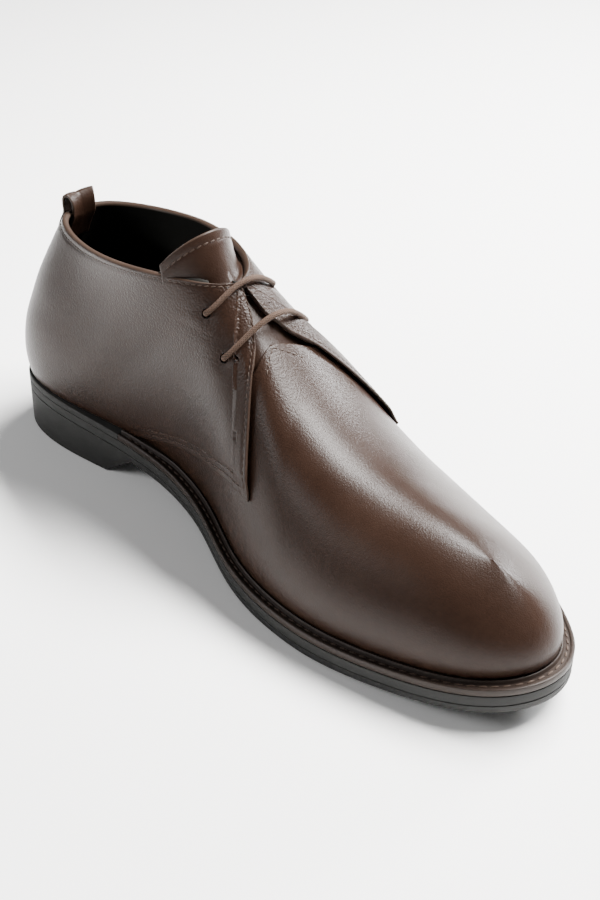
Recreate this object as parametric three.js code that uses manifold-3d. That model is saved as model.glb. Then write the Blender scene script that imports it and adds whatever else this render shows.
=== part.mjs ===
// Left chukka boot for a man's foot, about EU 44, empty and standing on its sole.
// Millimetres. +X runs from heel to toe, +Y to the outer side, +Z up.
// The inner side of the foot has side -1, the outer side has side +1.
// Every form follows from the sole's plan, the heights along it and one skin function.

import * as THREE from 'three';
import { mergeVertices } from 'three/addons/utils/BufferGeometryUtils.js';
import Module from 'manifold-3d';

const wasm = await Module();
wasm.setup();

// Driving sizes
const SOLE_LENGTH = 305;
const SEAT = 0.3; // clearance between pieces that lie on each other
const WALL = 1.7; // vamp leather and lining
const QUARTER = 1.3; // how far a quarter stands above the vamp
const EMBED = 1.4; // depth of a quarter's root in the wall

const HEEL_END = 73; // the heel's flat ends here
const BREAST_END = 89; // the slope up to the waist ends here
const WAIST_LIFT = 11;
const BALL_START = 195; // the ball rests on the floor between these
const BALL_END = 215;
const TOE_SPRING = 11;

const WELT_THICK = 3;
const WELT_START = 82; // the welt's two ends butt on the raised heel seat
const WELT_WIDTH = 9;
const BEAD_WIDTH = 1;
const BEAD_RISE = 1.1;

const TREAD_PITCH = 5.3;
const TREAD_WIDTH = 1.8;
const TREAD_DEPTH = 1.5;
const HEEL_TREAD = { start: 10.5, count: 12 };
const BALL_TREAD = { start: 139, count: 29 };
const RIM = { outer: 5.5, inner: 6.8, depth: 1.3 }; // groove inside the tread's border
const PLATE = { x: 121, y: 12.3, length: 16, width: 39, line: 0.9, depth: 0.8 };

const INSOLE_THICK = 3;

const COLLAR_SHARE = 0.55; // share of the outline where the collar's front meets the crest
const COLLAR_BACK = 18;
const COLLAR_FRONT = 138;
const COLLAR_HALF = 26;
const TOE_BACK = 26.5; // the crest ends this far behind the toe's feather
const COLLAR_EGG = 0.12; // the opening is wider behind its middle
const COLLAR_SPREAD = 1.385; // sections gather at the back of the opening
const HEEL_BULGE = 3.5;
const SIDE_BULGE = 2.2;
const BULGE_GAIN = 27 / 4; // brings the top of t * (1 - t) ** 2 to 1
const ROUNDNESS = { ankle: 1.78, toe: 2.03, share: 0.625 };
const LEAN_AT_HEEL = 0.45;
const EVEN_SHARE = 0.15; // from here on both sides curve alike at the crest

const THROAT_X = 156; // top edge of the vamp between the quarters
const THROAT_SETBACK = 0.003; // share of the outline that the quarter covers beyond the opening
const FLAP_LIFT = 1.4; // free facing edges stand off the vamp

const TONGUE = { end: 172, side: 0.4, wrap: 0.13, covered: 7, steps: 11, thick: 1.9 };
const TONGUE_OUT = -WALL - SEAT - 0.1; // its top face lies this far from the skin
// Free end of the tongue: an arch round an upright line, leaning back, its corners lower
const TONGUE_ARCH = { x: 125, y: -4.3, z: 128.5, radius: 19.2, turn: 1.15, drop: 13, lean: 0.5, reach: 19 };
const EYELET_RADIUS = 2;
const LACE_RADIUS = 1.15;
const LACE_PLAY = 0.5; // the cord lies this much above the leather
// Each cord leaves the hole at s and h and crosses the facing at v
const EYELETS = [
  { name: 'lace_top', s: 0.489, h: 0.79, v: 0.97 },
  { name: 'lace_lower', s: 0.522, h: 0.65, v: 0.81 },
];
const LOOP = { half: 7, thick: 1.3 };

// Plan of the outsole: distances from the line between heel and toe
const SOLE_PLAN = [
  { x: 0, inner: 0, outer: 0 },
  { x: 12, inner: 26, outer: 28.5 },
  { x: 31, inner: 32, outer: 38.5 },
  { x: 50, inner: 31.5, outer: 41.5 },
  { x: 80, inner: 26.5, outer: 43.5 },
  { x: 110, inner: 23, outer: 45.5 },
  { x: 140, inner: 27.5, outer: 52 },
  { x: 170, inner: 38.5, outer: 59.5 },
  { x: 200, inner: 44, outer: 61.7 },
  { x: 225, inner: 43.6, outer: 57.6 },
  { x: 250, inner: 39, outer: 49.5 },
  { x: 270, inner: 33.5, outer: 40.5 },
  { x: 285, inner: 27.5, outer: 30.5 },
  { x: 299, inner: 16.5, outer: 17 },
  { x: 305, inner: 0, outer: 0 },
];

// Height of the welt's top face, which is also the heel seat
const SOLE_TOP = [
  { x: 0, z: 27 },
  { x: 40, z: 26.5 },
  { x: 75, z: 24 },
  { x: 110, z: 19 },
  { x: 150, z: 13.5 },
  { x: 190, z: 11 },
  { x: 215, z: 11 },
  { x: 250, z: 13 },
  { x: 280, z: 17 },
  { x: 305, z: 22 },
];

// How far the upper's bottom edge lies inside the outsole's edge
const FEATHER = [
  { s: 0, inset: 3.5 },
  { s: 0.28, inset: 3.8 },
  { s: 0.36, inset: 5.6 },
  { s: 0.5, inset: 5.6 },
  { s: 0.8, inset: 5.2 },
  { s: 1, inset: 6 },
];

// Crest of the last: height, and drift to the inner side
const CREST = [
  { x: 120, z: 129, y: -1 },
  { x: 142, z: 107, y: -2 },
  { x: 170, z: 83.5, y: -4.5 },
  { x: 200, z: 67.6, y: -7 },
  { x: 230, z: 60.4, y: -5.5 },
  { x: 255, z: 57.7, y: -3 },
  { x: 280, z: 53, y: -1.5 },
  { x: 305, z: 46.8, y: 0 },
];

// Middle line of the opening
const OPENING_MIDDLE = [
  { x: 0, y: 1.5 },
  { x: 50, y: 8.5 },
  { x: 100, y: 0.5 },
  { x: 142, y: -3.5 },
];

// Collar edge: share of the way from the back seam to the front, where it meets the crest
const COLLAR = [
  { v: 0, z: 99 },
  { v: 0.25, z: 100.3 },
  { v: 0.5, z: 101.2 },
  { v: 0.75, z: 110.5 },
];

// Front edge of a quarter, from its low corner to the collar
const FACING = [
  { v: 0, s: 0.57 },
  { v: 0.25, s: 0.569 },
  { v: 0.5, s: 0.57 },
  { v: 0.8, s: 0.572 },
  { v: 0.93, s: 0.566 },
  { v: 1, s: 0.548 },
];

// Lower edge of a quarter: along the feather, then up over the vamp's wing
const QUARTER_LOW = [
  { s: 0, h: 0 },
  { s: 0.36, h: 0 },
  { s: 0.43, h: 0.12 },
  { s: 0.5, h: 0.225 },
  { s: 0.555, h: 0.335 },
  { s: 0.58, h: 0.37 },
];

// Section of the welt: distance from the outsole's edge and height over its own underside
const WELT_SECTION = [
  { e: 0.2, z: 0 },
  { e: 0, z: 0.4 },
  { e: 0, z: 2.6 },
  { e: 0.5, z: 3.1 },
  { e: 1.4, z: 3.1 },
  { e: 1.7, z: 2.7 },
];

// Path of the pull loop over the collar: height share, offset and rise above the collar
const LOOP_PATH = [
  { h: 0.84, out: -2.7, up: 0 },
  { h: 0.92, out: -2.7, up: 0 },
  { h: 1, out: -2.7, up: 0 },
  { h: 1, out: -2.9, up: 4 },
  { h: 1, out: -2, up: 7 },
  { h: 1, out: -0.2, up: 8.2 },
  { h: 1, out: 1.6, up: 7 },
  { h: 1, out: 2.6, up: 4 },
  { h: 1, out: 2.35, up: 0 },
  { h: 0.94, out: 2.35, up: 0 },
  { h: 0.88, out: 2.35, up: 0 },
];

const clamp = (v) => Math.min(1, Math.max(0, v));
const mix = (a, b, u) => a + (b - a) * u;
const smooth = (v) => clamp(v) ** 2 * (3 - 2 * clamp(v));
const range = (n) => [...Array(n + 1).keys()];
const gathered = (u) => 1 - (1 - u) ** 1.3; // closer together towards the throat

// Natural cubic curve through a table's rows
function curve(rows, along, value) {
  const x = rows.map((r) => r[along]);
  const y = rows.map((r) => r[value]);
  const n = x.length;
  const bend = new Array(n).fill(0);
  const gain = new Array(n).fill(0);
  for (let i = 1; i < n - 1; i += 1) {
    const share = (x[i] - x[i - 1]) / (x[i + 1] - x[i - 1]);
    const p = share * bend[i - 1] + 2;
    const change = (y[i + 1] - y[i]) / (x[i + 1] - x[i]) - (y[i] - y[i - 1]) / (x[i] - x[i - 1]);
    bend[i] = (share - 1) / p;
    gain[i] = (6 * change / (x[i + 1] - x[i - 1]) - share * gain[i - 1]) / p;
  }
  for (let i = n - 2; i > 0; i -= 1) bend[i] = bend[i] * bend[i + 1] + gain[i];
  bend[0] = 0;
  return (at) => {
    let i = 0;
    while (i < n - 2 && at > x[i + 1]) i += 1;
    const w = x[i + 1] - x[i];
    const a = (x[i + 1] - at) / w;
    const b = (at - x[i]) / w;
    return a * y[i] + b * y[i + 1]
      + ((a ** 3 - a) * bend[i] + (b ** 3 - b) * bend[i + 1]) * w * w / 6;
  };
}

// Straight lines between a table's rows
function steps(rows, along, value) {
  return (at) => {
    let i = 0;
    while (i < rows.length - 2 && at > rows[i + 1][along]) i += 1;
    const u = clamp((at - rows[i][along]) / (rows[i + 1][along] - rows[i][along]));
    return mix(rows[i][value], rows[i + 1][value], u);
  };
}

// The share s runs from 0 at the heel to 1 at the toe, finer at both round ends
const xAt = (s) => SOLE_LENGTH / 2 * (1 - Math.cos(Math.PI * s));
const shareAt = (x) => Math.acos(1 - 2 * x / SOLE_LENGTH) / Math.PI;

const planRows = SOLE_PLAN.map((r) => ({ s: shareAt(r.x), ...r }));
const halfInner = curve(planRows, 's', 'inner');
const halfOuter = curve(planRows, 's', 'outer');
const soleTop = curve(SOLE_TOP, 'x', 'z');
const featherInset = curve(FEATHER, 's', 'inset');
const crestHeight = curve(CREST, 'x', 'z');
const crestMiddle = curve(CREST, 'x', 'y');
const openingMiddle = curve(OPENING_MIDDLE, 'x', 'y');
const collarHeight = curve([...COLLAR, { v: 1, z: crestHeight(COLLAR_FRONT) }], 'v', 'z');
const facingShare = steps(FACING, 'v', 's');
const quarterLow = steps(QUARTER_LOW, 's', 'h');

// Point of the outline with its outward direction, moved inward by inset
function soleEdge(side, s, inset = 0) {
  const at = (q) => [xAt(q), side * (side < 0 ? halfInner(q) : halfOuter(q))];
  const step = 1e-4;
  const [x, y] = at(s);
  const [x0, y0] = at(Math.max(0, s - step));
  const [x1, y1] = at(Math.min(1, s + step));
  const length = Math.hypot(x1 - x0, y1 - y0);
  const tip = s <= 0 ? -1 : Number(s >= 1);
  const nx = tip || -side * (y1 - y0) / length;
  const ny = tip ? 0 : side * (x1 - x0) / length;
  return { x: x - inset * nx, y: y - inset * ny, nx, ny };
}

function underside(x) {
  if (x <= HEEL_END) return 0;
  if (x <= BREAST_END) return WAIST_LIFT * (x - HEEL_END) / (BREAST_END - HEEL_END);
  if (x <= BALL_START) return WAIST_LIFT * ((BALL_START - x) / (BALL_START - BREAST_END)) ** 1.6;
  if (x <= BALL_END) return 0;
  return TOE_SPRING * ((x - BALL_END) / (SOLE_LENGTH - BALL_END)) ** 1.7;
}

const crestEnd = SOLE_LENGTH - FEATHER[FEATHER.length - 1].inset - TOE_BACK;
const joinX = xAt(COLLAR_SHARE);

// Share of the section whose top lies on the crest at x
function crestShare(x) {
  const u = (x - COLLAR_FRONT) / (crestEnd - COLLAR_FRONT);
  return shareAt(mix(joinX, SOLE_LENGTH, u));
}

// Top end of a section: on the collar behind the throat, on the crest before it
function sectionTop(side, s) {
  if (s < COLLAR_SHARE) {
    const v = s / COLLAR_SHARE;
    const turn = Math.PI * v ** COLLAR_SPREAD;
    const x = mix(COLLAR_BACK, COLLAR_FRONT, (1 - Math.cos(turn)) / 2);
    const half = COLLAR_HALF * Math.sin(turn) * (1 + COLLAR_EGG * Math.cos(turn));
    const z = collarHeight(v);
    const slope = crestHeight(COLLAR_FRONT + 0.5) - crestHeight(COLLAR_FRONT - 0.5);
    return { x, y: openingMiddle(x) + side * half, z, slope: slope * v ** 4 };
  }
  const u = (xAt(s) - joinX) / (SOLE_LENGTH - joinX);
  const x = mix(COLLAR_FRONT, crestEnd, u);
  return { x, y: crestMiddle(x), z: crestHeight(x), slope: crestHeight(x + 0.5) - crestHeight(x - 0.5) };
}

// Outer face of the vamp. The height share h is 0 at the feather and 1 at the collar or crest
function skinBase(side, s, h) {
  const foot = soleEdge(side, s, featherInset(s));
  const across = soleEdge(-side, s, featherInset(s));
  const z0 = soleTop(foot.x) + SEAT;
  const top = sectionTop(side, s);
  const v = clamp(s / COLLAR_SHARE);
  const w = clamp((s - COLLAR_SHARE) / (1 - COLLAR_SHARE));
  const t = mix(h, Math.sin(h * Math.PI / 2), v * v);
  const round = mix(ROUNDNESS.ankle, ROUNDNESS.toe, clamp(w / ROUNDNESS.share));
  const close = mix(LEAN_AT_HEEL, 1, v * v);
  const lean = (q) => 1 - Math.sqrt(Math.max(0, 1 - q ** round));
  const k = lean(t * close) / lean(close);
  const bulge = mix(HEEL_BULGE, SIDE_BULGE, clamp(s / 0.4)) * BULGE_GAIN * t * (1 - t) ** 2;
  const spread = foot.y - top.y;
  const even = (foot.y - across.y) / 2;
  const evened = spread + k * smooth(w / EVEN_SHARE) * (even - spread);
  const x = mix(foot.x, top.x, k) + foot.nx * bulge;
  const y = top.y + (1 - k) * evened + foot.ny * bulge;
  return new THREE.Vector3(x, y, z0 + (top.z + top.slope * (x - top.x) - z0) * t);
}

function sideNormal(side, s, h) {
  const step = 1e-4;
  const a = skinBase(side, Math.max(0, s - step), h);
  const b = skinBase(side, Math.min(1, s + step), h);
  const c = skinBase(side, s, Math.max(0, h - step));
  const d = skinBase(side, s, Math.min(1, h + step));
  return b.sub(a).cross(d.sub(c)).multiplyScalar(-side).normalize();
}

function skinNormal(side, s, h) {
  if (h === 1 && s >= COLLAR_SHARE) {
    return new THREE.Vector3(-sectionTop(side, s).slope, 0, 1).normalize();
  }
  const normal = sideNormal(side, s, h);
  if (s === 0 || s === 1) normal.add(sideNormal(-side, s, h));
  if (h === 0) normal.z = 0;
  return normal.normalize();
}

const skin = (side, s, h, out = 0) =>
  skinBase(side, s, h).addScaledVector(skinNormal(side, s, h), out);

// Closed body from sheets of points; sheets share their borders
function bodyFrom(sheets) {
  const positions = [];
  const near = (a, b) => a.distanceToSquared(b) < 1e-8;
  const face = (a, b, c) => {
    if (near(a, b) || near(b, c) || near(a, c)) return;
    for (const p of [a, b, c]) positions.push(p.x, p.y, p.z);
  };
  for (const sheet of sheets) {
    for (let i = 0; i + 1 < sheet.length; i += 1) {
      for (let j = 0; j + 1 < sheet[i].length; j += 1) {
        const [a, b, c, d] = [sheet[i][j], sheet[i + 1][j], sheet[i + 1][j + 1], sheet[i][j + 1]];
        face(a, b, c);
        face(a, c, d);
      }
    }
  }
  const geometry = new THREE.BufferGeometry();
  geometry.setAttribute('position', new THREE.Float32BufferAttribute(positions, 3));
  return geometry;
}

const flipped = (sheet) => sheet.map((row) => [...row].reverse());
const column = (sheet, j) => sheet.map((row) => row[j]);

// Body between two sheets of equal size, closed along their four borders
function doubleSheet(outer, inner) {
  const last = outer.length - 1;
  const end = outer[0].length - 1;
  return bodyFrom([
    outer,
    flipped(inner),
    [inner[0], outer[0]],
    [outer[last], inner[last]],
    flipped([column(inner, 0), column(outer, 0)]),
    flipped([column(outer, end), column(inner, end)]),
  ]);
}

function signedVolume(mesh) {
  const { vertProperties: v, triVerts: t } = mesh;
  let six = 0;
  for (let i = 0; i < t.length; i += 3) {
    const [a, b, c] = [3 * t[i], 3 * t[i + 1], 3 * t[i + 2]];
    six += v[a] * (v[b + 1] * v[c + 2] - v[b + 2] * v[c + 1])
      - v[a + 1] * (v[b] * v[c + 2] - v[b + 2] * v[c])
      + v[a + 2] * (v[b] * v[c + 1] - v[b + 1] * v[c]);
  }
  return six / 6;
}

function solid(geometry) {
  const bare = geometry.clone();
  bare.deleteAttribute('normal');
  bare.deleteAttribute('uv');
  const merged = mergeVertices(bare, 1e-4);
  const data = {
    numProp: 3,
    vertProperties: new Float32Array(merged.attributes.position.array),
    triVerts: new Uint32Array(merged.index.array),
  };
  if (signedVolume(data) < 0) data.triVerts.reverse();
  return new wasm.Manifold(new wasm.Mesh(data));
}

function geometryOf(body) {
  const raw = body.getMesh();
  const geometry = new THREE.BufferGeometry();
  geometry.setAttribute('position', new THREE.BufferAttribute(raw.vertProperties, 3));
  geometry.setIndex(new THREE.BufferAttribute(raw.triVerts, 1));
  return geometry;
}

function meshOf(body, name, color, roughness) {
  const geometry = geometryOf(body);
  geometry.computeVertexNormals();
  const mesh = new THREE.Mesh(geometry, new THREE.MeshStandardMaterial({ color, roughness }));
  mesh.name = name;
  return mesh;
}

// Stretch of the sole between two shares; each ring has an inset and a height over x
function slab(rings, from = 0, to = 1, count = 34) {
  const across = 1;
  const shares = range(Math.max(2, Math.round(count * (to - from)))).map(
    (i, k, all) => mix(from, to, i / (all.length - 1)),
  );
  for (const x of [HEEL_END, BREAST_END]) {
    const s = shareAt(x);
    if (s > from && s < to) shares.push(s);
  }
  shares.sort((a, b) => a - b);
  const layer = ({ inset, z }) => shares.map((s) => {
    const a = soleEdge(-1, s, inset);
    const b = soleEdge(1, s, inset);
    return range(across).map((c) => {
      const x = mix(a.x, b.x, c / across);
      return new THREE.Vector3(x, mix(a.y, b.y, c / across), z(x));
    });
  });
  const layers = rings.map(layer);
  const last = layers.length - 1;
  const end = shares.length - 1;
  return solid(bodyFrom([
    flipped(layers[0]),
    layers[last],
    flipped(layers.map((l) => column(l, 0))),
    layers.map((l) => column(l, across)),
    layers.map((l) => l[0]),
    flipped(layers.map((l) => l[end])),
  ]));
}

// Box bent to the sole's underside
function treadTool(x, y0, y1, width, depth) {
  const geometry = new THREE.BoxGeometry(width, y1 - y0, 1);
  const p = geometry.attributes.position;
  for (let i = 0; i < p.count; i += 1) {
    const px = x + p.getX(i);
    p.setXYZ(i, px, (y0 + y1) / 2 + p.getY(i), underside(px) + (p.getZ(i) > 0 ? depth : -1));
  }
  return solid(geometry);
}

function treadGrooves({ start, count }) {
  const reach = (RIM.outer + RIM.inner) / 2;
  const tools = [];
  for (let i = 0; i < count; i += 1) {
    const x = start + i * TREAD_PITCH;
    const s = shareAt(x);
    tools.push(treadTool(x, soleEdge(-1, s, reach).y, soleEdge(1, s, reach).y, TREAD_WIDTH, TREAD_DEPTH));
  }
  return tools;
}

function rimGroove(from, to) {
  const below = (x) => underside(x) - 1;
  const above = (x) => underside(x) + RIM.depth;
  const ring = (inset) => slab([{ inset, z: below }, { inset, z: above }], from, to);
  const inner = slab(
    [{ inset: RIM.inner, z: (x) => below(x) - 1 }, { inset: RIM.inner, z: (x) => above(x) + 1 }],
    from,
    to,
  );
  return ring(RIM.outer).subtract(inner);
}

function plateLine() {
  const { x, y, length, width, line, depth } = PLATE;
  const outer = treadTool(x, y - width / 2, y + width / 2, length, depth);
  const inner = treadTool(x, y - width / 2 + line, y + width / 2 - line, length - 2 * line, depth + 1);
  return outer.subtract(inner);
}

function outsole() {
  const ledge = (x) => soleTop(x) - WELT_THICK - SEAT;
  const base = slab([
    { inset: 0.8, z: underside },
    { inset: 0, z: (x) => underside(x) + 0.8 },
    { inset: 0, z: (x) => ledge(x) - 0.5 },
    { inset: 0.5, z: ledge },
  ]);
  const seat = slab([
    { inset: 0.5, z: (x) => ledge(x) - 1 },
    { inset: 0.5, z: ledge },
    { inset: 0, z: (x) => ledge(x) + 0.5 },
    { inset: 0, z: (x) => soleTop(x) - 0.6 },
    { inset: 0.6, z: soleTop },
  ], 0, shareAt(WELT_START));
  const bed = slab([
    { inset: WELT_WIDTH, z: (x) => ledge(x) - 1 },
    { inset: WELT_WIDTH, z: soleTop },
  ], shareAt(WELT_START - 10), 1);
  const body = base.add(seat).add(bed);
  const heelSplit = shareAt(HEEL_TREAD.start + (HEEL_TREAD.count - 1) * TREAD_PITCH);
  const tools = [
    ...treadGrooves(HEEL_TREAD),
    ...treadGrooves(BALL_TREAD),
    rimGroove(0, heelSplit),
    rimGroove(shareAt(BALL_TREAD.start), 1),
    plateLine(),
  ];
  return tools.reduce((rest, tool) => rest.subtract(tool), body);
}

// Rows of the welt's section; the bead makes room for a quarter that reaches the feather
function weltRows(s) {
  const bead = featherInset(s) - 0.5 - (QUARTER + 0.2) * smooth((0.42 - s) / 0.05);
  const width = WELT_WIDTH - 2 * SEAT;
  return [
    ...WELT_SECTION,
    { e: bead - BEAD_WIDTH - 0.3, z: 2.7 },
    { e: bead - BEAD_WIDTH, z: WELT_THICK + 0.6 * BEAD_RISE },
    { e: bead - 0.5 * BEAD_WIDTH, z: WELT_THICK + BEAD_RISE },
    { e: bead, z: WELT_THICK + 0.5 * BEAD_RISE },
    { e: bead + 0.1, z: WELT_THICK },
    { e: width, z: WELT_THICK },
    { e: width, z: 0 },
  ];
}

// Section of the welt at one place, as a closed loop
function weltLoop(side, s) {
  return weltRows(s).map(({ e, z }) => {
    const p = soleEdge(side, s, e);
    return new THREE.Vector3(p.x, p.y, soleTop(p.x) - WELT_THICK + z);
  });
}

// Body along a row of closed loops, with flat ends
function sweptLoops(loops, ends) {
  const closed = loops.map((loop) => [...loop, loop[0]]);
  const body = [closed];
  const flat = ends.map((p) => new THREE.Vector2(p[0], p[1]));
  const order = Math.sign(THREE.ShapeUtils.area(flat));
  const cap = (loop, turn) => {
    for (const [a, b, c] of THREE.ShapeUtils.triangulateShape(flat, [])) {
      const same = Math.sign(THREE.ShapeUtils.area([flat[a], flat[b], flat[c]])) === order;
      const t = same !== turn ? [loop[a], loop[b], loop[c]] : [loop[a], loop[c], loop[b]];
      body.push([[t[0], t[2]], [t[1], t[2]]]);
    }
  };
  cap(loops[0], false);
  cap(loops[loops.length - 1], true);
  return bodyFrom(body);
}

// Block that takes away everything behind x
function behindPlane(x) {
  const geometry = new THREE.BoxGeometry(60, 2 * SOLE_LENGTH, SOLE_LENGTH);
  geometry.translate(x - 30, 0, 0);
  return solid(geometry);
}

function welt() {
  const start = shareAt(WELT_START - 5);
  const n = 24;
  const shares = range(n).map((i) => mix(start, 1, i / n));
  const loops = [
    ...shares.map((s) => weltLoop(-1, s)),
    ...shares.slice(0, -1).reverse().map((s) => weltLoop(1, s)),
  ];
  const flat = weltRows(start).map(({ e, z }) => [e, z]);
  return solid(sweptLoops(loops, flat)).subtract(behindPlane(WELT_START + SEAT));
}

function insole() {
  const margin = (s) => featherInset(s) + WALL + 2 * SEAT;
  const at = (side, s, z) => {
    const p = soleEdge(side, s, margin(s));
    return new THREE.Vector3(p.x, p.y, soleTop(p.x) + SEAT + z);
  };
  const across = 2;
  const shares = range(28).map((i) => i / 28);
  const layer = (z) => shares.map((s) => {
    const [a, b] = [at(-1, s, z), at(1, s, z)];
    return range(across).map((c) => a.clone().lerp(b, c / across));
  });
  const [low, high] = [layer(0), layer(INSOLE_THICK)];
  return solid(doubleSheet(high, low));
}

// Wall all round between two offsets, open at the collar and underneath
function wall(outset, inset) {
  const behind = range(16).map((i) => COLLAR_SHARE * gathered(i / 16));
  const before = range(15).slice(1).map((i) => mix(COLLAR_SHARE, 1, i / 15));
  const half = [...behind, ...before];
  const around = [
    ...half.map((s) => [-1, s]),
    ...half.slice(0, -1).reverse().map((s) => [1, s]),
  ];
  const rows = 8;
  const sheet = (out) => around.map(([side, s]) => range(rows).map((j) => skin(side, s, j / rows, out)));
  const outer = sheet(outset);
  const inner = sheet(inset);
  const collar = (list) => list.filter((_, i) => around[i][1] <= COLLAR_SHARE);
  const rim = (part) => flipped([column(part(outer), rows), column(part(inner), rows)]);
  const left = (list) => collar(list).slice(0, behind.length);
  const right = (list) => collar(list).slice(behind.length);
  return solid(bodyFrom([
    outer,
    flipped(inner),
    flipped([column(inner, 0), column(outer, 0)]),
    rim(left),
    rim(right),
  ]));
}

function facingPoint(side, v, back) {
  const s = facingShare(v) - back;
  return skin(side, s, mix(quarterLow(s), 1, v));
}

// Prism that opens the wall between the facings down to the vamp's top edge
function throatTool() {
  const heights = range(12).map((i) => mix(0.985, 0.4, i / 12));
  const edge = (side) => heights.map((v) => facingPoint(side, v, THROAT_SETBACK))
    .filter((p) => p.x < THROAT_X);
  const [a, b] = [edge(-1), edge(1)];
  const outline = [
    [COLLAR_FRONT - 16, a[0].y],
    ...a.map((p) => [p.x, p.y]),
    [THROAT_X, a[a.length - 1].y - 1],
    [THROAT_X, b[b.length - 1].y + 1],
    ...b.reverse().map((p) => [p.x, p.y]),
    [COLLAR_FRONT - 16, b[b.length - 1].y],
  ];
  const shape = new THREE.Shape(outline.map(([x, y]) => new THREE.Vector2(x, y)));
  const geometry = new THREE.ExtrudeGeometry(shape, { depth: 90, bevelEnabled: false });
  geometry.translate(0, 0, 60);
  return solid(geometry);
}

// Both quarters: one band round the heel whose front ends are the facings
function quarters(outset, inset) {
  const along = 17;
  const up = 9;
  const lift = (u, v) => FLAP_LIFT * smooth((u - 0.93) / 0.07) * smooth(v / 0.12) * smooth((0.8 - v) / 0.2);
  const place = (i, j, out) => {
    const u = gathered(Math.abs(i) / along);
    const v = j / up;
    const s = u * facingShare(v);
    const h = mix(quarterLow(s), 1, v);
    return skin(i < 0 ? -1 : 1, s, h, out + lift(u, v));
  };
  const order = range(2 * along).map((i) => i - along);
  const sheet = (out) => order.map((i) => range(up).map((j) => place(i, j, out)));
  return solid(doubleSheet(sheet(outset), sheet(inset)));
}

// The wall without the small pockets between a quarter's root and the vamp
function largest(body) {
  return body.decompose().sort((a, b) => b.volume() - a.volume())[0];
}

function eyeletTool(side, { s, h }) {
  const at = skin(side, s, h, 0);
  const normal = skinNormal(side, s, h);
  const geometry = new THREE.CylinderGeometry(EYELET_RADIUS, EYELET_RADIUS, 9, 14);
  geometry.applyQuaternion(new THREE.Quaternion().setFromUnitVectors(new THREE.Vector3(0, 1, 0), normal));
  geometry.translate(at.x, at.y, at.z);
  return solid(geometry);
}

function upper() {
  let body = wall(0, -WALL).subtract(throatTool()).add(quarters(QUARTER, -EMBED));
  for (const eyelet of EYELETS) {
    for (const side of [-1, 1]) body = body.subtract(eyeletTool(side, eyelet));
  }
  return largest(body);
}

// Free end of the tongue; above is 1 at its top edge and 0 at the collar
function tongueArch(side, q, above) {
  const { x, y, z, radius, turn, drop, lean, reach } = TONGUE_ARCH;
  const down = (1 - above) * reach;
  return new THREE.Vector3(
    x - radius * (1 - Math.cos(turn * q)) + lean * down * (1 - q / 2),
    y + side * radius * Math.sin(turn * q),
    z - drop * q ** 2 - down,
  );
}

// Under the quarters the tongue follows the wall, and its free end turns into the arch.
// q is 0 on its middle line and 1 at its side, step counts from the vamp to its top edge
function tonguePoint(side, q, step, out) {
  const collarShare = COLLAR_SHARE - TONGUE.wrap * q;
  const u = Math.min(1, step / TONGUE.covered);
  const s = mix(crestShare(TONGUE.end), collarShare, u);
  const p = skin(side, s, mix(1 - TONGUE.side * q, 1, u * u), out);
  const above = (step - TONGUE.covered) / (TONGUE.steps - TONGUE.covered);
  if (above <= 0) return p;
  const arch = tongueArch(side, q, above);
  arch.z += out - TONGUE_OUT;
  return p.lerp(arch, smooth(1.4 * above));
}

function tongue() {
  const across = 3;
  const sheet = (out) => range(2 * across).map((i) => i - across).map((i) => range(TONGUE.steps)
    .map((step) => tonguePoint(i < 0 ? -1 : 1, Math.abs(i) / across, step, out)));
  const top = TONGUE_OUT;
  const whole = solid(doubleSheet(sheet(top), sheet(top - TONGUE.thick)));
  const room = wall(FLAP_LIFT, -WALL - SEAT).add(quarters(QUARTER, -EMBED - SEAT));
  const finished = upper();
  const moved = (dz) => solid(geometryOf(finished).translate(0, 0, dz));
  return largest(whole.subtract(room).subtract(finished.add(moved(-SEAT)).add(moved(SEAT))));
}

// Cord that leaves one eyelet, lies over both facings and enters the other eyelet
function laceBar(eyelet) {
  const over = QUARTER + SEAT + LACE_RADIUS + LACE_PLAY;
  const half = (side) => {
    const s = facingShare(eyelet.v);
    const h = mix(quarterLow(s), 1, eyelet.v);
    const onSkin = (u, out) => skin(side, mix(eyelet.s, s, u), mix(eyelet.h, h, u), out);
    const hole = onSkin(0, 0);
    const normal = skinNormal(side, eyelet.s, eyelet.h);
    const toward = onSkin(0.3, 0).sub(hole).normalize();
    const bend = [[0, 0.6], [0.1, 1.8], [0.8, 3], [2.6, over]];
    return [
      ...bend.map(([a, out]) => hole.clone().addScaledVector(toward, a).addScaledVector(normal, out)),
      onSkin(0.5, over + 0.6),
      onSkin(1, over + 0.6),
    ];
  };
  const [near, far] = [half(-1), half(1)];
  const middle = near.at(-1).clone().lerp(far.at(-1), 0.5);
  middle.z = Math.max(middle.z, crestHeight(middle.x)) + over / 2;
  const path = new THREE.CatmullRomCurve3([...near, middle, ...far.reverse()], false, 'centripetal');
  const shape = new THREE.Shape();
  shape.absarc(0, 0, LACE_RADIUS, 0, 2 * Math.PI, false);
  return solid(new THREE.ExtrudeGeometry(shape, { extrudePath: path, steps: 16, curveSegments: 4 }));
}

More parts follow.
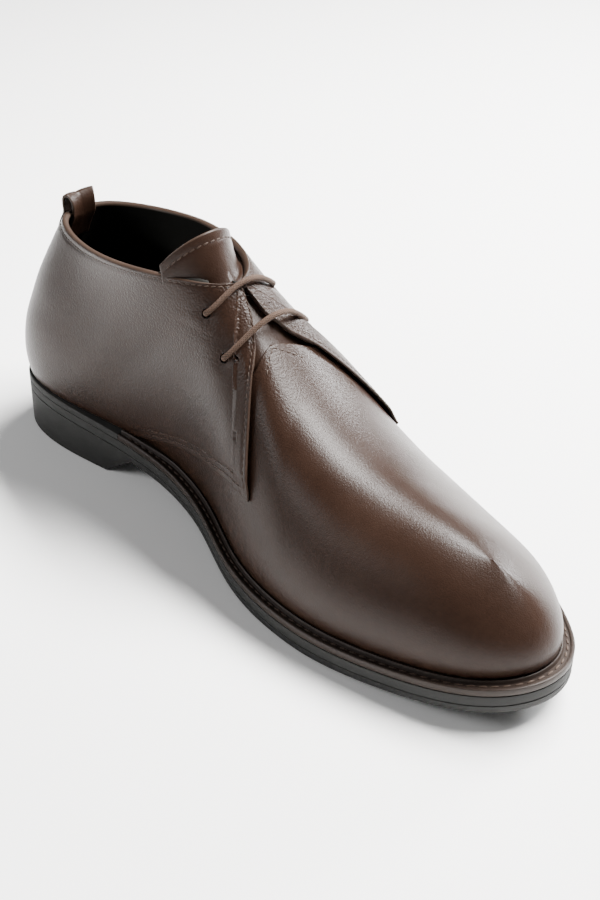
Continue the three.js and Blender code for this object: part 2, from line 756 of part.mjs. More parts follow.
// Strap folded over the collar at the back seam
function pullLoop() {
  const across = 4;
  const centre = LOOP_PATH.map((r) => new THREE.Vector2(r.out, r.up + (r.h - 1) * 80));
  const thin = LOOP.thick / 2;
  const probe = 0.05;
  const sheet = (shift) => range(across).map((c) => {
    const offset = mix(-1, 1, c / across);
    const side = offset < 0 ? -1 : 1;
    return LOOP_PATH.map((r, i) => {
      const reach = Math.abs(skin(side, probe, r.h).y - skin(side, 0, r.h).y);
      const share = probe * (LOOP.half * Math.abs(offset) / reach) ** (1 / COLLAR_SPREAD);
      const before = centre[Math.max(0, i - 1)];
      const after = centre[Math.min(centre.length - 1, i + 1)];
      const along = after.clone().sub(before).normalize();
      const p = skin(side, share, r.h, r.out - along.y * shift);
      p.z += r.up + along.x * shift;
      return p;
    });
  });
  return solid(doubleSheet(sheet(thin), sheet(-thin)));
}

const PIECES = [
  { name: 'outsole', body: outsole, color: 0x24211f, roughness: 0.85 },
  { name: 'welt', body: welt, color: 0x2c1f19, roughness: 0.6 },
  { name: 'insole', body: insole, color: 0x1c1613, roughness: 0.8 },
  { name: 'upper', body: upper, color: 0x3a261d, roughness: 0.4 },
  { name: 'tongue', body: tongue, color: 0x3f2a20, roughness: 0.45 },
  { name: 'pull_loop', body: pullLoop, color: 0x35231b, roughness: 0.5 },
];

const boot = new THREE.Group();
boot.name = 'chukka_boot_left';
for (const { name, body, color, roughness } of PIECES) {
  boot.add(meshOf(body(), name, color, roughness));
}
for (const eyelet of EYELETS) boot.add(meshOf(laceBar(eyelet), eyelet.name, 0x4a3022, 0.8));

// The floor point under the middle of the outline becomes the origin
const bounds = new THREE.Box3().setFromObject(boot);
const centre = bounds.getCenter(new THREE.Vector3());
for (const piece of boot.children) piece.geometry.translate(-centre.x, -centre.y, -bounds.min.z);

export default boot;
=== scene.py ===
import math

import bpy
import numpy as np
from mathutils import Matrix, Vector


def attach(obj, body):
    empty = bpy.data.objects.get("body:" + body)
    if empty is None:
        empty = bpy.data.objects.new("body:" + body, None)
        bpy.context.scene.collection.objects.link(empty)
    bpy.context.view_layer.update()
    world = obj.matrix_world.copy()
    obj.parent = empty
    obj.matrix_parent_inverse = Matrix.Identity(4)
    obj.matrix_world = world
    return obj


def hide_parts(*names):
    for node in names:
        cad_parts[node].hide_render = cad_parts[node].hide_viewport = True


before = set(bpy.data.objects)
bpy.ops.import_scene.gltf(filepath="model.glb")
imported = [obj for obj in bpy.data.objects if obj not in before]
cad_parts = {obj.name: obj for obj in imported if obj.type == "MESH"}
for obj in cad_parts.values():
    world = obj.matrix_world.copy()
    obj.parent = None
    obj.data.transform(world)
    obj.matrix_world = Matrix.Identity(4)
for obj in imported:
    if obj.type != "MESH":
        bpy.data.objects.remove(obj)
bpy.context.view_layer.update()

# Sizes, millimetres

# The frame's origin lies under the middle of the boot
ORIGIN = np.array([152.48, 8.7608, 0.0])
SOLE_LENGTH = 305.0
SEAT = 0.3
WALL = 1.7  # vamp leather and lining
QUARTER = 1.3  # a quarter stands this far above the vamp
VAMP_THICK = 1.3
WELT_THICK, WELT_START, WELT_WIDTH = 3.0, 82.0, 9.0
HEEL_END, BREAST_END, WAIST_LIFT = 73.0, 89.0, 11.0
BALL_START, BALL_END, TOE_SPRING = 195.0, 215.0, 11.0
COLLAR_SHARE, COLLAR_BACK, COLLAR_FRONT, COLLAR_HALF = 0.55, 18.0, 138.0, 26.0
COLLAR_EGG, COLLAR_SPREAD = 0.12, 1.385
TOE_BACK = 26.5
HEEL_BULGE, SIDE_BULGE = 3.5, 2.2
BULGE_GAIN = 6.75  # brings the top of t * (1 - t) ** 2 to 1
ANKLE_ROUNDNESS, TOE_ROUNDNESS, ROUND_SHARE = 1.78, 2.03, 0.625
LEAN_AT_HEEL, EVEN_SHARE = 0.45, 0.15
THROAT_X = 156.0
FLAP_LIFT = 1.4
EYELET_RADIUS, LACE_RADIUS = 2.0, 1.15
TREAD_PITCH, TREAD_WIDTH, TREAD_DEPTH = 5.3, 1.8, 1.5
RIM_OUTER, RIM_INNER, RIM_DEPTH = 5.5, 6.8, 1.3
HEEL_TREAD = {"start": 10.5, "count": 12}
BALL_TREAD = {"start": 139.0, "count": 29}
PLATE = {"x": 121.0, "y": 12.3, "length": 16.0, "width": 39.0, "bar": 14.6, "line": 0.9, "depth": 0.8}
BELOW = 1.5  # cutters start this far under the sole
SEAM_WIDTH, QUARTER_SEAM, VAMP_SEAM, TONGUE_SEAM = 0.9, 0.22, 0.16, 0.18
EYELET_DISH = {"depth": 0.45, "reach": 4.2}  # leather pressed in round a hole
TONGUE = {"end": 172.0, "side": 0.4, "wrap": 0.13, "covered": 7.0, "steps": 11.0, "thick": 1.9}
# Free end of the tongue: an arch round an upright line, leaning back, its corners lower
ARCH = {
    "x": 125.0, "y": -4.3, "z": 128.5, "radius": 19.2,
    "turn": 1.15, "drop": 13.0, "lean": 0.5, "reach": 19.0,
}
EYELETS = [
    {"node": "lace_top", "s": 0.489, "h": 0.79, "v": 0.97},
    {"node": "lace_lower", "s": 0.522, "h": 0.65, "v": 0.81},
]

# Distance along the sole, inner half, outer half
SOLE_PLAN = [
    (0, 0, 0), (12, 26, 28.5), (31, 32, 38.5), (50, 31.5, 41.5), (80, 26.5, 43.5),
    (110, 23, 45.5), (140, 27.5, 52), (170, 38.5, 59.5), (200, 44, 61.7), (225, 43.6, 57.6),
    (250, 39, 49.5), (270, 33.5, 40.5), (285, 27.5, 30.5), (299, 16.5, 17), (305, 0, 0),
]
# Distance along the sole, height of the welt's top face
SOLE_TOP = [
    (0, 27), (40, 26.5), (75, 24), (110, 19), (150, 13.5),
    (190, 11), (215, 11), (250, 13), (280, 17), (305, 22),
]
# Share of the outline, inset of the upper's bottom edge
FEATHER = [(0, 3.5), (0.28, 3.8), (0.36, 5.6), (0.5, 5.6), (0.8, 5.2), (1, 6)]
# Distance along the sole, crest height, crest's middle
CREST = [
    (120, 129, -1), (142, 107, -2), (170, 83.5, -4.5), (200, 67.6, -7),
    (230, 60.4, -5.5), (255, 57.7, -3), (280, 53, -1.5), (305, 46.8, 0),
]
OPENING_MIDDLE = [(0, 1.5), (50, 8.5), (100, 0.5), (142, -3.5)]
COLLAR = [(0, 99), (0.25, 100.3), (0.5, 101.2), (0.75, 110.5)]
FACING = [(0, 0.57), (0.25, 0.569), (0.5, 0.57), (0.8, 0.572), (0.93, 0.566), (1, 0.548)]
QUARTER_LOW = [(0, 0), (0.36, 0), (0.43, 0.12), (0.5, 0.225), (0.555, 0.335), (0.58, 0.37)]
# Share of the outline, height share of the vamp's own edge under the quarters
VAMP_EDGE = [(0.3, 0.02), (0.36, 0.06), (0.45, 0.32), (0.55, 0.62), (0.574, 0.8), (0.592, 1)]

# Curves


def curve(rows, column=1):
    """Natural cubic curve through a table's rows."""
    x = np.array([r[0] for r in rows], float)
    y = np.array([r[column] for r in rows], float)
    n, h = len(x), np.diff(x)
    a, b = np.zeros((n, n)), np.zeros(n)
    a[0, 0] = a[-1, -1] = 1
    for i in range(1, n - 1):
        a[i, i - 1 : i + 2] = h[i - 1], 2 * (h[i - 1] + h[i]), h[i]
        b[i] = 6 * ((y[i + 1] - y[i]) / h[i] - (y[i] - y[i - 1]) / h[i - 1])
    m = np.linalg.solve(a, b)

    def at(q):
        q = np.asarray(q, float)
        i = np.clip(np.searchsorted(x, q, side="right") - 1, 0, n - 2)
        u, v = (x[i + 1] - q) / h[i], (q - x[i]) / h[i]
        bend = (u**3 - u) * m[i] + (v**3 - v) * m[i + 1]
        return u * y[i] + v * y[i + 1] + bend * h[i] ** 2 / 6

    return at


def steps(rows):
    """Straight lines between a table's rows."""
    x, y = [r[0] for r in rows], [r[1] for r in rows]
    return lambda q: np.interp(q, x, y)


def x_at(s):
    return SOLE_LENGTH / 2 * (1 - np.cos(math.pi * np.asarray(s, float)))


def share_at(x):
    return np.arccos(np.clip(1 - 2 * np.asarray(x, float) / SOLE_LENGTH, -1, 1)) / math.pi


def smooth(v):
    v = np.clip(v, 0, 1)
    return v * v * (3 - 2 * v)


def mix(a, b, u):
    return a + (b - a) * u


def unit(v):
    return v / np.maximum(np.linalg.norm(v, axis=-1, keepdims=True), 1e-12)


plan_rows = [(float(share_at(r[0])), r[1], r[2]) for r in SOLE_PLAN]
half_width = {-1: curve(plan_rows, 1), 1: curve(plan_rows, 2)}
sole_top = curve(SOLE_TOP)
feather_inset = curve(FEATHER)
crest_height, crest_middle = curve(CREST, 1), curve(CREST, 2)
opening_middle = curve(OPENING_MIDDLE)
collar_height = curve(COLLAR + [(1, float(crest_height(COLLAR_FRONT)))])
facing_share, quarter_low, vamp_edge = steps(FACING), steps(QUARTER_LOW), steps(VAMP_EDGE)
CREST_END = SOLE_LENGTH - FEATHER[-1][1] - TOE_BACK
JOIN_X = float(x_at(COLLAR_SHARE))

# The skin: side -1 inner, +1 outer; s from heel to toe; h from the feather to the top


def sole_edge(side, s, inset=0.0):
    """Point of the outline moved inward, and its outward direction."""
    s = np.asarray(s, float)
    e = 1e-4
    s0, s1 = np.clip(s - e, 0, 1), np.clip(s + e, 0, 1)
    tx = x_at(s1) - x_at(s0)
    ty = side * (half_width[side](s1) - half_width[side](s0))
    size = np.hypot(tx, ty)
    nx, ny = -side * ty / size, side * tx / size
    tip = np.where(s <= 0, -1.0, np.where(s >= 1, 1.0, 0.0))
    nx, ny = np.where(tip != 0, tip, nx), np.where(tip != 0, 0.0, ny)
    return x_at(s) - inset * nx, side * half_width[side](s) - inset * ny, nx, ny


def crest_share(x):
    return float(share_at(mix(JOIN_X, SOLE_LENGTH, (x - COLLAR_FRONT) / (CREST_END - COLLAR_FRONT))))


def section_top(side, s):
    """Top end of a section: on the collar behind the throat, on the crest before it."""
    v = np.clip(s / COLLAR_SHARE, 0, 1)
    turn = math.pi * v**COLLAR_SPREAD
    cx = mix(COLLAR_BACK, COLLAR_FRONT, (1 - np.cos(turn)) / 2)
    half = COLLAR_HALF * np.sin(turn) * (1 + COLLAR_EGG * np.cos(turn))
    rx = mix(COLLAR_FRONT, CREST_END, np.clip((x_at(s) - JOIN_X) / (SOLE_LENGTH - JOIN_X), 0, 1))
    front = s >= COLLAR_SHARE
    start = float(crest_height(COLLAR_FRONT + 0.5) - crest_height(COLLAR_FRONT - 0.5))
    return (
        np.where(front, rx, cx),
        np.where(front, crest_middle(rx), opening_middle(cx) + side * half),
        np.where(front, crest_height(rx), collar_height(v)),
        np.where(front, crest_height(rx + 0.5) - crest_height(rx - 0.5), start * v**4),
    )


def skin_base(side, s, h):
    s, h = np.broadcast_arrays(np.asarray(s, float), np.asarray(h, float))
    fx, fy, nx, ny = sole_edge(side, s, feather_inset(s))
    across = sole_edge(-side, s, feather_inset(s))[1]
    z0 = sole_top(fx) + SEAT
    tx, ty, tz, slope = section_top(side, s)
    v = np.clip(s / COLLAR_SHARE, 0, 1)
    w = np.clip((s - COLLAR_SHARE) / (1 - COLLAR_SHARE), 0, 1)
    t = mix(h, np.sin(h * math.pi / 2), v * v)
    power = mix(ANKLE_ROUNDNESS, TOE_ROUNDNESS, np.clip(w / ROUND_SHARE, 0, 1))
    close = mix(LEAN_AT_HEEL, 1.0, v * v)
    k = (1 - np.sqrt(np.clip(1 - (t * close) ** power, 0, None))) / (
        1 - np.sqrt(np.clip(1 - close**power, 0, None))
    )
    bulge = mix(HEEL_BULGE, SIDE_BULGE, np.clip(s / 0.4, 0, 1)) * BULGE_GAIN * t * (1 - t) ** 2
    spread = fy - ty
    evened = spread + k * smooth(w / EVEN_SHARE) * ((fy - across) / 2 - spread)
    x = mix(fx, tx, k) + nx * bulge
    y = ty + (1 - k) * evened + ny * bulge
    return np.stack([x, y, z0 + (tz + slope * (x - tx) - z0) * t], -1)


def side_normal(side, s, h):
    e = 1e-4
    along = skin_base(side, np.clip(s + e, 0, 1), h) - skin_base(side, np.clip(s - e, 0, 1), h)
    up = skin_base(side, s, np.clip(h + e, 0, 1)) - skin_base(side, s, np.clip(h - e, 0, 1))
    return unit(-side * np.cross(along, up))


def skin_normal(side, s, h):
    s, h = np.broadcast_arrays(np.asarray(s, float), np.asarray(h, float))
    n = side_normal(side, s, h)
    tip = (s <= 0) | (s >= 1)
    n = np.where(tip[..., None], n + side_normal(-side, s, h), n)
    n[..., 2] = np.where(h <= 0, 0, n[..., 2])
    slope = section_top(side, s)[3]
    top = np.stack([-slope, np.zeros_like(slope), np.ones_like(slope)], -1)
    return unit(np.where(((h >= 1) & (s >= COLLAR_SHARE))[..., None], top, n))


def skin(side, s, h, out=0.0):
    out = np.asarray(out, float)
    return skin_base(side, s, h) + skin_normal(side, s, h) * out[..., None]


def place(points):
    """Millimetres from the heel's back to metres in the frame."""
    return (np.asarray(points, float) - ORIGIN) * 0.001


# Finishes


def node(tree, kind, x=0, y=0, **values):
    made = tree.nodes.new(kind)
    made.location = x, y
    for key, value in values.items():
        setattr(made, key, value)
    return made


def group(name, inputs, outputs):
    """Empty node group with named inputs and outputs."""
    tree = bpy.data.node_groups.new(name, "ShaderNodeTree")
    for key, kind, value in inputs:
        socket = tree.interface.new_socket(key, in_out="INPUT", socket_type=kind)
        if value is not None:
            socket.default_value = value
    for key, kind in outputs:
        tree.interface.new_socket(key, in_out="OUTPUT", socket_type=kind)
    return tree, node(tree, "NodeGroupInput", -900), node(tree, "NodeGroupOutput", 900)


def ramp(tree, source, stops, x=0, y=0):
    made = node(tree, "ShaderNodeValToRGB", x, y)
    elements = made.color_ramp.elements
    while len(elements) < len(stops):
        elements.new(0.5)
    for element, (at, value) in zip(elements, stops):
        element.position = at
        element.color = (*value, 1) if isinstance(value, tuple) else (value, value, value, 1)
    tree.links.new(source, made.inputs[0])
    return made.outputs[0]


def maths(tree, kind, a, b, x=0, y=0):
    made = node(tree, "ShaderNodeMath", x, y, operation=kind)
    for socket, value in zip(made.inputs, (a, b)):
        if isinstance(value, (int, float)):
            socket.default_value = value
        else:
            tree.links.new(value, socket)
    return made.outputs[0]


def noise(tree, vector, scale, detail=3.0, rough=0.5, x=0, y=0):
    made = node(tree, "ShaderNodeTexNoise", x, y)
    made.inputs["Scale"].default_value = scale
    made.inputs["Detail"].default_value = detail
    made.inputs["Roughness"].default_value = rough
    tree.links.new(vector, made.inputs["Vector"])
    return made.outputs["Fac"]


def grain_group():
    """Pebbled leather: low cells with fine pores, and a slow drift of tone."""
    tree, start, end = group(
        "leather_grain",
        [("Vector", "NodeSocketVector", None), ("Pebble", "NodeSocketFloat", 0.5)],
        [("Height", "NodeSocketFloat"), ("Tone", "NodeSocketFloat"), ("Gloss", "NodeSocketFloat")],
    )
    vector = start.outputs["Vector"]
    wobble = node(tree, "ShaderNodeTexNoise", -700, 300)
    wobble.inputs["Scale"].default_value = 700
    tree.links.new(vector, wobble.inputs["Vector"])
    shift = node(tree, "ShaderNodeVectorMath", -520, 300, operation="SCALE")
    shift.inputs["Scale"].default_value = 0.0007
    tree.links.new(wobble.outputs["Color"], shift.inputs[0])
    moved = node(tree, "ShaderNodeVectorMath", -340, 300, operation="ADD")
    tree.links.new(vector, moved.inputs[0])
    tree.links.new(shift.outputs[0], moved.inputs[1])
    cells = node(tree, "ShaderNodeTexVoronoi", -160, 300, feature="SMOOTH_F1")
    cells.inputs["Scale"].default_value = 1050
    cells.inputs["Smoothness"].default_value = 0.35
    tree.links.new(moved.outputs[0], cells.inputs["Vector"])
    pebble = maths(tree, "MULTIPLY", cells.outputs["Distance"], -1.0, 20, 300)
    pebble = maths(tree, "MULTIPLY", pebble, start.outputs["Pebble"], 200, 300)
    fine = noise(tree, vector, 2300, 2.0, 0.55, -160, 0)
    fine = maths(tree, "MULTIPLY", fine, 0.55, 20, 0)
    height = maths(tree, "ADD", pebble, fine, 380, 200)
    tree.links.new(height, end.inputs["Height"])
    slow = noise(tree, vector, 22, 3.0, 0.55, -160, -300)
    close = noise(tree, vector, 260, 3.0, 0.6, -160, -500)
    slow_part = maths(tree, "MULTIPLY", slow, 0.7, 20, -300)
    close_part = maths(tree, "MULTIPLY", close, 0.3, 20, -500)
    tone = maths(tree, "ADD", slow_part, close_part, 200, -400)
    tree.links.new(ramp(tree, tone, [(0.3, 0.0), (0.7, 1.0)], 380, -300), end.inputs["Tone"])
    tree.links.new(ramp(tree, slow, [(0.3, 0.0), (0.7, 1.0)], 380, -600), end.inputs["Gloss"])
    return tree


def rubber_group():
    """Fine matte texture of moulded rubber."""
    tree, start, end = group(
        "rubber_grain",
        [("Vector", "NodeSocketVector", None)],
        [("Height", "NodeSocketFloat"), ("Tone", "NodeSocketFloat")],
    )
    tree.links.new(noise(tree, start.outputs["Vector"], 1900, 2.0, 0.6, -300, 100), end.inputs["Height"])
    slow = noise(tree, start.outputs["Vector"], 60, 4.0, 0.6, -300, -200)
    tree.links.new(ramp(tree, slow, [(0.3, 0.0), (0.7, 1.0)], 0, -200), end.inputs["Tone"])
    return tree


def weave_group():
    """Round cord woven from crossing strands; the vector's X runs round it, Y along it."""
    tree, start, end = group(
        "cord_weave",
        [
            ("Vector", "NodeSocketVector", None),
            ("Around", "NodeSocketFloat", 8.0),
            ("Along", "NodeSocketFloat", 60.0),
        ],
        [("Height", "NodeSocketFloat")],
    )
    parts = node(tree, "ShaderNodeSeparateXYZ", -700, 0)
    tree.links.new(start.outputs["Vector"], parts.inputs[0])
    turns = maths(tree, "MULTIPLY", parts.outputs[0], start.outputs["Around"], -500, 200)
    lays = maths(tree, "MULTIPLY", parts.outputs[1], start.outputs["Along"], -500, -200)
    a = maths(tree, "MULTIPLY", turns, 2 * math.pi, -350, 200)
    b = maths(tree, "MULTIPLY", lays, 2 * math.pi, -350, -200)
    first = maths(tree, "SINE", maths(tree, "ADD", a, b, -200, 200), 0.0, -50, 200)
    second = maths(tree, "SINE", maths(tree, "SUBTRACT", a, b, -200, -200), 0.0, -50, -200)
    tree.links.new(maths(tree, "MAXIMUM", first, second, 200, 0), end.inputs["Height"])
    return tree


LEATHER_GRAIN, RUBBER_GRAIN, WEAVE = grain_group(), rubber_group(), weave_group()


def finish(name, low, high, rough, surface, bump, depth, spec=0.2, uv=False, pebble=None):
    """Procedural finish: colour and roughness drift between two values, with a fine relief."""
    mat = bpy.data.materials.new(name)
    mat.use_nodes = True
    tree = mat.node_tree
    shader = tree.nodes["Principled BSDF"]
    shader.inputs["Specular IOR Level"].default_value = spec
    coords = node(tree, "ShaderNodeTexCoord", -1100, 0)
    vector = coords.outputs["UV" if uv else "Object"]
    body = node(tree, "ShaderNodeGroup", -850, 0, node_tree=surface)
    tree.links.new(vector, body.inputs["Vector"])
    if pebble:
        strength = node(tree, "ShaderNodeAttribute", -1100, -300, attribute_name=pebble)
        tree.links.new(strength.outputs["Fac"], body.inputs["Pebble"])
    relief = node(tree, "ShaderNodeBump", -400, -400)
    relief.inputs["Strength"].default_value = bump
    relief.inputs["Distance"].default_value = depth * 0.001
    tree.links.new(body.outputs["Height"], relief.inputs["Height"])
    tree.links.new(relief.outputs["Normal"], shader.inputs["Normal"])
    drift = body.outputs["Tone"] if "Tone" in body.outputs else body.outputs["Height"]
    color = ramp(tree, drift, [(0.0, low), (1.0, high)], -500, 200)
    tree.links.new(color, shader.inputs["Base Color"])
    gloss = body.outputs["Gloss"] if "Gloss" in body.outputs else drift
    rough_drift = ramp(tree, gloss, [(0.0, rough[0]), (1.0, rough[1])], -250, -100)
    tree.links.new(rough_drift, shader.inputs["Roughness"])
    return mat


leather = finish(
    "dark_leather", (0.0135, 0.0066, 0.0042), (0.021, 0.0108, 0.0071), (0.30, 0.36),
    LEATHER_GRAIN, bump=0.7, depth=0.24, spec=0.14, pebble="grain",
)
# Rim colour: lighter than the upper, partly the raw cut edge's own brown and partly a painted highlight
# where light catches the edges
cut_edge_with_painted_highlight = finish(
    "cut_edge_with_painted_highlight", (0.022, 0.013, 0.009), (0.034, 0.021, 0.015), (0.4, 0.48),
    LEATHER_GRAIN, bump=0.4, depth=0.1,
)
lining = finish(
    "lining", (0.008, 0.0078, 0.0068), (0.012, 0.0115, 0.010), (0.72, 0.82),
    LEATHER_GRAIN, bump=0.5, depth=0.12, spec=0.1,
)
welt_leather = finish(
    "welt_leather", (0.014, 0.009, 0.007), (0.022, 0.0145, 0.011), (0.42, 0.52),
    LEATHER_GRAIN, bump=0.5, depth=0.12,
)
thread = finish(
    "thread", (0.024, 0.015, 0.011), (0.055, 0.036, 0.026), (0.5, 0.6),
    LEATHER_GRAIN, bump=0.4, depth=0.08,
)
rubber = finish(
    "charcoal_rubber", (0.016, 0.016, 0.0155), (0.023, 0.023, 0.022), (0.62, 0.74),
    RUBBER_GRAIN, bump=0.5, depth=0.12,
)
cord = finish(
    "woven_cord", (0.028, 0.016, 0.010), (0.075, 0.044, 0.030), (0.62, 0.78),
    WEAVE, bump=0.8, depth=0.12, uv=True,
)

# Laying and closing pieces


def only(obj):
    bpy.ops.object.select_all(action="DESELECT")
    obj.select_set(True)
    bpy.context.view_layer.objects.active = obj


def laid(name, sheets, stands_for=None, angle=None, weld=2e-6):
    """Piece from grids of placed points, joined where their borders meet."""
    grids = []
    for sheet, mat, grain in sheets:
        rows, cols = sheet.shape[:2]
        bpy.ops.mesh.primitive_grid_add(x_subdivisions=cols - 1, y_subdivisions=rows - 1, size=1)
        grid = bpy.context.active_object
        grid.data.vertices.foreach_set("co", place(sheet).ravel())
        values = grid.data.attributes.new("grain", "FLOAT", "POINT").data
        values.foreach_set("value", np.broadcast_to(np.asarray(grain, float), (rows, cols)).ravel())
        grid.data.materials.append(mat)
        grids.append(grid)
    bpy.ops.object.select_all(action="DESELECT")
    for grid in grids:
        grid.select_set(True)
    bpy.context.view_layer.objects.active = grids[0]
    if len(grids) > 1:
        bpy.ops.object.join()
    obj = bpy.context.active_object
    obj.name = obj.data.name = name
    close_up(obj, weld, angle)
    return kept(obj, stands_for)


def close_up(obj, weld=2e-6, angle=None):
    only(obj)
    bpy.ops.object.mode_set(mode="EDIT")
    bpy.ops.mesh.select_all(action="SELECT")
    bpy.ops.mesh.remove_doubles(threshold=weld)
    bpy.ops.mesh.dissolve_degenerate(threshold=1e-7)
    bpy.ops.mesh.select_all(action="SELECT")
    bpy.ops.mesh.normals_make_consistent(inside=False)
    bpy.ops.object.mode_set(mode="OBJECT")
    if angle is None:
        bpy.ops.object.shade_smooth()
    else:
        bpy.ops.object.shade_smooth_by_angle(angle=math.radians(angle))


def kept(obj, stands_for=None):
    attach(obj, "root")
    if stands_for:
        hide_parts(stands_for)
    return obj


def rim(a, b, before, rows=4, swell=0.6):
    """Rounded edge from border a to border b; before is the row next to a."""
    away = unit(a - before)
    half = (a - b) / 2
    size = np.linalg.norm(half, axis=-1, keepdims=True)
    turns = [math.pi * i / rows for i in range(rows + 1)]
    return np.stack([(a + b) / 2 + half * math.cos(t) + away * size * swell * math.sin(t) for t in turns], 1)


def rims(outer, inner, sides, mat, swell=0.6):
    """Rounded rims on the named borders of a double sheet."""
    borders = {
        "first": (outer[0], inner[0], outer[1]),
        "last": (outer[-1], inner[-1], outer[-2]),
        "low": (outer[:, 0], inner[:, 0], outer[:, 1]),
        "top": (outer[:, -1], inner[:, -1], outer[:, -2]),
    }
    return [(rim(*borders[side], swell=swell), mat, 0.2) for side in sides]


def around(shares):
    """Shares from the inner side to the toe and back on the outer side."""
    return [(-1, s) for s in shares] + [(1, s) for s in shares[-2::-1]]


# Seams and creases as soft troughs


def pressed(points, lines, depth, width):
    """Depth of the soft troughs that lie along dense lines of points."""
    flat = points.reshape(-1, 3)
    nearest = np.full(len(flat), 1e9)
    for line in lines:
        low, high = line.min(0) - 3 * width, line.max(0) + 3 * width
        near = np.all((flat > low) & (flat < high), axis=1)
        rest = flat[near]
        best = np.full(len(rest), 1e9)
        for start in range(0, len(line), 60):
            gap = np.linalg.norm(rest[:, None] - line[None, start : start + 60], axis=2)
            best = np.minimum(best, gap.min(1))
        nearest[near] = np.minimum(nearest[near], best)
    return (depth * np.exp(-((nearest / width) ** 2))).reshape(points.shape[:2])


def quarter_at(side, u, v, out=0.0):
    s = u * facing_share(v)
    return skin(side, s, mix(quarter_low(s), 1, v), np.broadcast_to(out, np.shape(s)))


def quarter_normal(side, u, v):
    s = u * facing_share(v)
    return skin_normal(side, s, mix(quarter_low(s), 1, v))


def inside_edge(side, edge, distance, start, stop, count=240):
    """Line on a quarter that keeps a distance to one of its edges: shares u and v."""
    run = np.linspace(start, stop, count)
    probe = np.linspace(0, 0.16, 80)
    a, b = np.meshgrid(run, probe, indexing="ij")
    u, v = {"facing": (1 - b, a), "low": (a, b), "collar": (a, 1 - b)}[edge]
    points = quarter_at(side, u, v)
    length = np.cumsum(np.linalg.norm(np.diff(points, axis=1), axis=2), axis=1)
    length = np.concatenate([np.zeros((count, 1)), length], 1)
    at = np.array([np.interp(distance, length[i], probe) for i in range(count)])
    return {"facing": (1 - at, run), "low": (run, at), "collar": (run, 1 - at)}[edge]


SEAM_ROWS = [
    {"edge": "facing", "distance": 2.2, "start": 0.04, "stop": 0.985},
    {"edge": "low", "distance": 2.2, "start": 0.66, "stop": 0.985},
    {"edge": "low", "distance": 4.8, "start": 0.66, "stop": 0.965},
    {"edge": "collar", "distance": 2.4, "start": 0.06, "stop": 0.985},
]


def seam_lines(side):
    lines = []
    for row in SEAM_ROWS:
        u, v = inside_edge(side, row["edge"], row["distance"], row["start"], row["stop"])
        lines.append((quarter_at(side, u, v, QUARTER + flap_lift(u, v)), quarter_normal(side, u, v)))
    return lines


# The upper


def gathered(n, power=1.3):
    u = np.linspace(0, 1, n)
    return 1 - (1 - u) ** power


def flap_lift(u, v):
    return FLAP_LIFT * smooth((u - 0.9) / 0.1) * smooth(v / 0.12) * smooth((0.85 - v) / 0.25)


def quarter_inside(s, h, u):
    """Offset of a quarter's inner face: clear of the vamp where it lies on it."""
    over = smooth((vamp_edge(s) + 0.05 - h) / 0.05)
    base = mix(-WALL, 0.1, np.where(s > 0.3, over, 0.0))
    return mix(base, np.maximum(base, -0.7), smooth((u - 0.9) / 0.06))


def soft_waves(points, waves):
    """Soft folds at given places: centre, direction across, reach and height."""
    total = np.zeros(points.shape[:-1])
    for w in waves:
        d = points - np.array(w["at"])
        across = d @ np.array(w["across"])
        radial = np.linalg.norm(d, axis=-1)
        total += w["height"] * np.exp(-((across / w["width"]) ** 2)) * np.exp(-((radial / w["reach"]) ** 2))
    return total


def quarter(side):
    columns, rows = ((220, 110))
    u, v = np.meshgrid(gathered(columns), np.linspace(0, 1, rows), indexing="ij")
    s = u * facing_share(v)
    h = mix(quarter_low(s), 1, v)
    lift = flap_lift(u, v)
    base, normal = skin_base(side, s, h), skin_normal(side, s, h)
    outer = base + normal * (QUARTER + lift)[..., None]
    lines = [points for points, _ in seam_lines(side)]
    relief = -pressed(outer, lines, QUARTER_SEAM, SEAM_WIDTH)
    for eyelet in EYELETS:
        hole = skin(side, eyelet["s"], eyelet["h"], QUARTER)
        away = np.linalg.norm(outer - hole, axis=-1)
        relief -= EYELET_DISH["depth"] * np.exp(-((away / EYELET_DISH["reach"]) ** 2))
    relief += soft_waves(outer, QUARTER_WAVES[side])
    edge = smooth(u / 0.02) * smooth((1 - u) / 0.01)
    outer = outer + normal * (relief * edge)[..., None]
    inner = base + normal * (quarter_inside(s, h, u) + lift)[..., None]
    grain = 0.35 + 0.65 * smooth((u - 0.55) / 0.35) * smooth((v - 0.25) / 0.4)
    sheets = [(outer, leather, grain), (inner, lining, 0.2)]
    sheets += rims(outer, inner, ("last", "low", "top"), cut_edge_with_painted_highlight, swell=0.7)
    sheets.append((np.stack([outer[0], inner[0]], 1), lining, 0.2))
    return sheets


def fold(side, s, h, toward_s, toward_h, width, reach, height):
    """Fold at a place on the skin that runs from there towards another place."""
    at = skin(side, s, h, QUARTER)
    way = skin(side, toward_s, toward_h, QUARTER) - at
    across = unit(np.cross(way, skin_normal(side, s, h)))
    return {"at": at, "across": across, "width": width, "reach": reach, "height": height}


# Each fold: place on the skin, place it runs towards, width, reach and height
QUARTER_WAVES = {
    side: [
        fold(side, 0.47, 0.74, 0.50, 0.76, 2.4, 15, 0.14),
        fold(side, 0.47, 0.69, 0.51, 0.69, 2.2, 14, -0.12),
        fold(side, 0.50, 0.56, 0.53, 0.62, 2.6, 14, 0.1),
        fold(side, 0.515, 0.73, 0.54, 0.76, 1.8, 10, 0.08),
        fold(side, 0.40, 0.5, 0.44, 0.66, 7, 34, -0.45),
        fold(side, 0.33, 0.42, 0.36, 0.6, 8, 34, 0.4),
        fold(side, 0.12, 0.5, 0.2, 0.5, 7, 30, -0.35),
    ]
    for side in (-1, 1)
}
VAMP_WAVES = [
    fold(-1, 0.70, 0.80, 0.70, 0.35, 6, 34, -0.07),
    fold(-1, 0.73, 0.80, 0.735, 0.35, 6, 30, 0.05),
    fold(1, 0.70, 0.80, 0.70, 0.35, 6, 34, -0.07),
    fold(1, 0.73, 0.80, 0.735, 0.35, 6, 30, 0.05),
]


